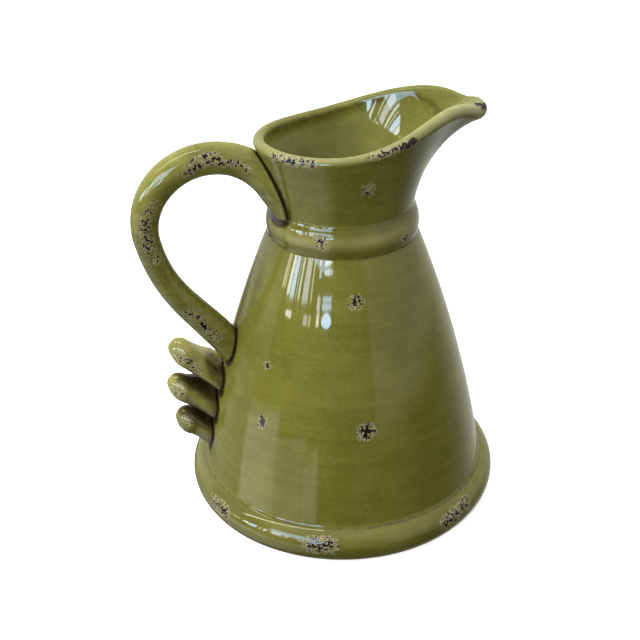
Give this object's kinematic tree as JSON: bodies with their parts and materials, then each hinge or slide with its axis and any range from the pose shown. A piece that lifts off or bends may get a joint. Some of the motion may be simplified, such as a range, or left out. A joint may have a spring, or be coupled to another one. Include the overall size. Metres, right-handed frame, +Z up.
{
  "type": "ceramic pitcher",
  "caption": "Flared olive-green glazed pitcher on a rounded foot, with a collared neck pulled into a pouring spout and a round loop handle whose tail lies in coils on the wall.",
  "frame": {"origin": "centre of the circle that the pitcher stands on", "axes": "+Z up along the vessel's axis, +X towards the spout, -X towards the handle"},
  "size_m": [0.2137, 0.19, 0.2399],
  "materials": {
    "bare_clay": "unglazed buff earthenware, matt",
    "glaze_body": "glossy olive-green glaze with brushy mottling and small crackled spots",
    "glaze_moulding": "glossy olive-green glaze, thinner and yellower on the rounded edges",
    "glaze_handle": "glossy olive-green glaze, worn in patches and dark brown where it pools"
  },
  "bodies": {
    "root": {"base_slab": "bare_clay", "foot_band": "glaze_moulding", "body_wall": "glaze_body", "collar_band": "glaze_moulding", "neck_spout": "glaze_body", "handle": "glaze_handle", "coil_upper": "glaze_handle", "coil_middle": "glaze_handle", "coil_lower": "glaze_handle"}
  },
  "joints": []
}
